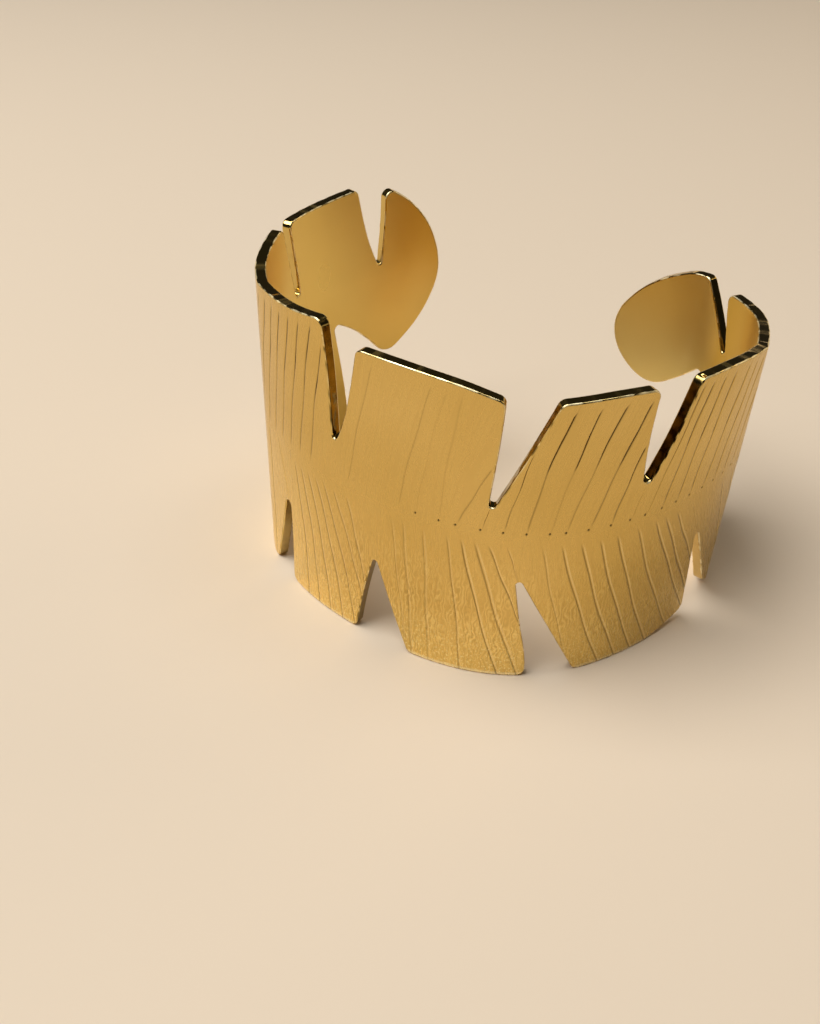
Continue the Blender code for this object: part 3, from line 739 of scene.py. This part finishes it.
class Finish:
    """A metal finish put together node by node; an input is given as a number, a colour or a link."""

    def __init__(self, name, colour, roughness):
        self.material = bpy.data.materials.new(name)
        self.material.use_nodes = True
        self.tree = self.material.node_tree
        self.shader = self.tree.nodes["Principled BSDF"]
        self.shader.inputs["Base Color"].default_value = (*colour, 1)
        self.shader.inputs["Metallic"].default_value = 1.0
        self.shader.inputs["Roughness"].default_value = roughness

    def node(self, kind, inputs=None, **settings):
        """A new node with its inputs and settings."""
        made = self.tree.nodes.new(kind)
        for key, value in settings.items():
            setattr(made, key, value)
        for key, value in (inputs or {}).items():
            if isinstance(value, bpy.types.NodeSocket):
                self.tree.links.new(value, made.inputs[key])
            else:
                made.inputs[key].default_value = value
        return made

    def into_shader(self, socket, key):
        """Link a socket to one of the metal's own inputs."""
        self.tree.links.new(socket, self.shader.inputs[key])

    def object_coordinates(self, stretch=(1, 1, 1)):
        """Place on the cuff, in metres, times the stretch."""
        place = self.node("ShaderNodeTexCoord").outputs["Object"]
        return self.node("ShaderNodeMapping", {"Vector": place, "Scale": stretch}).outputs["Vector"]

    def leaf_coordinates(self, stretch=(1, 1, 1), lanes=False):
        """The flat leaf's own along and up, or with lanes a map whose U stays the same along a vein."""
        place = self.node("ShaderNodeUVMap", uv_map="grain" if lanes else "leaf").outputs["UV"]
        return self.node("ShaderNodeMapping", {"Vector": place, "Scale": stretch}).outputs["Vector"]

    def noise(self, place, scale, detail=2.0, rough=0.5):
        """Noise from 0 to 1 at a place."""
        inputs = {"Vector": place, "Scale": scale, "Detail": detail, "Roughness": rough}
        return self.node("ShaderNodeTexNoise", inputs).outputs["Fac"]

    def axis(self, place, name):
        """The X, Y or Z of a place."""
        return self.node("ShaderNodeSeparateXYZ", {"Vector": place}).outputs[name]

    def tone(self):
        """The darkness stored at the leaf's points."""
        return self.node("ShaderNodeAttribute", attribute_name="tone").outputs["Fac"]

    def spread(self, value, low, high, to_low, to_high):
        """The value carried from one range to another by a straight line, and kept within it."""
        return self.node("ShaderNodeMapRange", {"Value": value, "From Min": low, "From Max": high,
                                                "To Min": to_low, "To Max": to_high}).outputs["Result"]

    def product(self, first, second, clamp=False):
        """First times second, with clamp kept from 0 to 1."""
        made = self.node("ShaderNodeMath", {0: first, 1: second}, operation="MULTIPLY", use_clamp=clamp)
        return made.outputs[0]

    def blend(self, share, first, second):
        """(1 - share) of the first colour and the share of the second."""
        made = self.node("ShaderNodeMix", data_type="RGBA")
        for socket, value in ((made.inputs[0], share), (made.inputs[6], first), (made.inputs[7], second)):
            if isinstance(value, bpy.types.NodeSocket):
                self.tree.links.new(value, socket)
            else:
                socket.default_value = value
        return made.outputs[2]

    def bump(self, height, distance, under=None):
        """Normals of a surface raised by height times distance, over the bumps under it."""
        inputs = {"Height": height, "Distance": distance, "Strength": 1.0}
        if under is not None:
            inputs["Normal"] = under
        return self.node("ShaderNodeBump", inputs).outputs["Normal"]


def engraved_outside():
    """Satin gold: slow tone changes, streaks along the veins, small curled marks that grow stronger
    towards the lower edge, and dark in the grooves and pits."""
    made = Finish("engraved_satin_gold", (0.70, 0.475, 0.145), 0.26)
    place = made.object_coordinates()
    height, across = made.axis(place, "Z"), made.axis(place, "X")
    lowest = made.spread(height, 0.010, 0.001, 0.0, 1.0)
    patch = made.spread(made.noise(made.leaf_coordinates((1, 0.6, 1)), 4, 1), 0.35, 0.65, 0.3, 1.0)
    low = made.product(made.spread(height, 0.021, 0.006, 0.0, 1.0), patch)
    slow = made.spread(made.noise(place, 55, 3), 0.3, 0.7, 0.0, 1.0)
    streak = made.noise(made.leaf_coordinates((1, 0.05, 1), lanes=True), 24, 3, 0.6)
    speck = made.noise(made.leaf_coordinates((1, 0.7, 1)), 38, 1)
    curl = made.node("ShaderNodeTexWave", {
        "Vector": made.leaf_coordinates((1, 0.42, 1)), "Scale": 6.0, "Distortion": 11.0,
        "Detail": 1.0, "Detail Scale": 2.1, "Detail Roughness": 0.5}).outputs["Fac"]
    tone = made.tone()

    gold = made.blend(slow, (0.66, 0.445, 0.125, 1), (0.74, 0.51, 0.165, 1))
    layers = (
        # streaks, then the curled marks' dark and light sides
        (made.spread(streak, 0.42, 0.72, 0.0, 0.14), (0.56, 0.37, 0.10)),
        (made.product(low, made.spread(curl, 0.45, 0.05, 0.0, 0.50)), (0.40, 0.25, 0.06)),
        (made.product(low, made.spread(curl, 0.60, 1.0, 0.0, 0.75)), (0.95, 0.72, 0.27)),
        # painted reflection of the floor: paler at the foot and speckled there, with a painted highlight line
        # on its very edge
        (made.spread(lowest, 0.0, 1.0, 0.0, 0.45), (0.88, 0.64, 0.20)),
        (made.product(lowest, made.spread(speck, 0.54, 0.68, 0.0, 0.8)), (1.0, 0.86, 0.42)),
        (made.spread(height, 0.0007, 0.0003, 0.0, 0.8), (1.0, 0.90, 0.58)),
        # painted shade low on the one side, and painted light low on the other
        (made.product(made.spread(across, 0.010, 0.024, 0.0, 1.0),
                      made.spread(height, 0.028, 0.014, 0.0, 0.45)), (0.42, 0.26, 0.03)),
        (made.product(made.spread(across, -0.012, -0.022, 0.0, 1.0),
                      made.spread(height, 0.028, 0.010, 0.0, 0.6)), (0.98, 0.72, 0.27)),
        # dark in the grooves, and a painted highlight on their raised lips
        (made.spread(tone, 0.0, 1.0, 0.0, 0.98), (0.030, 0.014, 0.003)),
        (made.spread(tone, 0.0, -0.5, 0.0, 0.7), (0.98, 0.78, 0.40)),
    )
    for share, colour in layers:
        gold = made.blend(share, gold, (*colour, 1))
    made.into_shader(gold, "Base Color")
    made.into_shader(made.spread(streak, 0.3, 0.7, 0.24, 0.31), "Roughness")
    normal = made.bump(streak, 0.000008)
    normal = made.bump(made.product(curl, low), 0.000035, under=normal)
    made.into_shader(normal, "Normal")
    return made.material


def satin_inside():
    """Smooth satin gold with slow waves, as rolled sheet has, and painted light and shade: deeper and paler
    zones along the leaf, and deeper low at the base end.
    """
    made = Finish("satin_gold_inside", (0.78, 0.53, 0.16), 0.28)
    place = made.object_coordinates()
    along = made.axis(made.leaf_coordinates(), "X")
    ramp = made.node("ShaderNodeValToRGB", {"Fac": made.spread(along, -7.8, 8.5, 0.0, 1.0)})
    tones = (
        # painted light and shade along the inside: place between the base end and the tip end, colour
        (0.04, (0.96, 0.72, 0.24)), (0.16, (0.84, 0.60, 0.17)), (0.60, (0.80, 0.56, 0.16)),
        (0.80, (0.62, 0.40, 0.07)), (0.865, (0.66, 0.43, 0.08)), (0.90, (1.0, 0.83, 0.34)),
    )
    elements = ramp.color_ramp.elements
    while len(elements) < len(tones):
        elements.new(0.5)
    for element, (position, colour) in zip(elements, tones):
        element.position, element.color = position, (*colour, 1)
    # painted shade, deeper low on the inside at the base end
    low = made.product(made.spread(made.axis(place, "Z"), 0.030, 0.013, 0.0, 0.75),
                       made.spread(along, -2.0, -4.0, 0.0, 1.0))
    gold = made.blend(low, ramp.outputs["Color"], (0.44, 0.28, 0.05, 1))
    deeper = made.blend(0.16, gold, (0.5, 0.28, 0.04, 1))
    slow = made.spread(made.noise(place, 60, 2), 0.3, 0.7, 0.0, 1.0)
    made.into_shader(made.blend(slow, deeper, gold), "Base Color")
    made.into_shader(made.spread(made.noise(place, 90, 0), 0.0, 1.0, 0.25, 0.37), "Roughness")
    wave = made.noise(made.object_coordinates((1, 1, 1.6)), 42, 0.0)
    made.into_shader(made.bump(wave, 0.0006), "Normal")
    return made.material


def polished_edge():
    """Polished gold with duller streaks along it, painted shade in patches on the notches' side walls, and
    painted pale highlights on the bevels.
    """
    made = Finish("polished_gold_edge", (0.64, 0.45, 0.14), 0.10)
    place = made.object_coordinates()
    tone = made.tone()
    # painted shade: the tone on the notches' side walls, broken into patches by noise and blended to
    # near-black
    painted_shade_patches = made.spread(made.noise(place, 700, 1), 0.35, 0.70, 1.05, 0.7)
    shade = made.product(tone, painted_shade_patches, clamp=True)
    gold = made.blend(shade, (0.64, 0.45, 0.14, 1), (0.030, 0.016, 0.004, 1))
    # painted highlight: the bevels blended to pale gold, and made rougher as well
    painted_bevel_highlight = made.spread(tone, -0.1, -0.8, 0.0, 1.0)
    made.into_shader(made.blend(painted_bevel_highlight, gold, (1.0, 0.86, 0.52, 1)), "Base Color")
    streak = made.spread(made.noise(made.leaf_coordinates((1, 0.4, 1)), 5, 2), 0.50, 0.68, 0.07, 0.34)
    rough = made.node("ShaderNodeMath", {0: painted_bevel_highlight, 1: 0.36, 2: streak}, operation="MULTIPLY_ADD").outputs[0]
    made.into_shader(rough, "Roughness")
    made.into_shader(made.bump(made.noise(place, 520, 1.5), 0.00008), "Normal")
    return made.material


for material in (engraved_outside(), satin_inside(), polished_edge()):
    leaf.data.materials.append(material)


def pale_floor():
    """A level square floor under the cuff, 3 m across."""
    mesh = bpy.data.meshes.new("floor")
    half = 1.5
    corners = [(-half, -half, 0), (half, -half, 0), (half, half, 0), (-half, half, 0)]
    mesh.from_pydata(corners, [], [(0, 1, 2, 3)])
    floor = bpy.data.objects.new("floor", mesh)
    bpy.context.scene.collection.objects.link(floor)
    material = bpy.data.materials.new("pale_matt_floor")
    material.use_nodes = True
    shader = material.node_tree.nodes["Principled BSDF"]
    shader.inputs["Base Color"].default_value = (0.80, 0.66, 0.50, 1)
    shader.inputs["Roughness"].default_value = 0.9
    mesh.materials.append(material)


def softbox(name, position, side, power, colour=(1, 1, 1)):
    """Square area light that faces the origin."""
    light = bpy.data.lights.new(name, "AREA")
    light.shape, light.size, light.size_y = "RECTANGLE", side, side
    light.energy, light.color = power, colour
    lamp = bpy.data.objects.new(name, light)
    lamp.location = position
    lamp.rotation_euler = (-Vector(position)).to_track_quat("-Z", "Y").to_euler()
    bpy.context.scene.collection.objects.link(lamp)


def studio_light():
    """Three softboxes in a dim room with a pale band just above the floor."""
    world = bpy.data.worlds.new("dim_studio")
    world.use_nodes = True
    nodes, links = world.node_tree.nodes, world.node_tree.links
    place = nodes.new("ShaderNodeTexCoord")
    height = nodes.new("ShaderNodeSeparateXYZ")
    fade = nodes.new("ShaderNodeValToRGB")
    links.new(place.outputs["Generated"], height.inputs["Vector"])
    links.new(height.outputs["Z"], fade.inputs["Fac"])
    links.new(fade.outputs["Color"], nodes["Background"].inputs["Color"])
    band, room = fade.color_ramp.elements
    band.position, band.color = 0.03, (0.95, 0.80, 0.58, 1)
    room.position, room.color = 0.13, (0.022, 0.021, 0.018, 1)
    bpy.context.scene.world = world
    softbox("overhead_softbox", (-0.36, -0.20, 0.85), 0.7, 9.4)
    softbox("top_softbox", (0.22, 0.16, 0.90), 0.35, 0.9)
    softbox("back_softbox", (0.58, 0.58, 0.42), 0.4, 0.9, (1, 0.82, 0.56))
    bpy.context.scene.view_settings.view_transform = "Standard"


def photo_camera():
    """Camera at the photo's place and angle, in metres and radians: its axes are turned by the
    heading, pitched down and rolled."""
    place = 0.02545, -0.11461, 0.09627
    heading, pitch, roll = 0.3162, -0.6634, 0.0332
    right = np.array([cos(heading), sin(heading), 0.0])
    ahead = np.array([-sin(heading) * cos(pitch), cos(heading) * cos(pitch), sin(pitch)])
    up = np.cross(right, ahead)
    side = cos(roll) * right + sin(roll) * up
    top = -sin(roll) * right + cos(roll) * up
    lens = bpy.data.cameras.new("photo_camera")
    lens.sensor_fit, lens.sensor_width, lens.lens = "HORIZONTAL", 36.0, 44.95
    lens.clip_start, lens.clip_end = 0.01, 10.0
    camera = bpy.data.objects.new("photo_camera", lens)
    axes = Matrix(np.column_stack([side, top, -ahead]).tolist())
    camera.matrix_world = Matrix.Translation(place) @ axes.to_4x4()
    bpy.context.scene.collection.objects.link(camera)
    bpy.context.scene.camera = camera


pale_floor()
studio_light()
photo_camera()
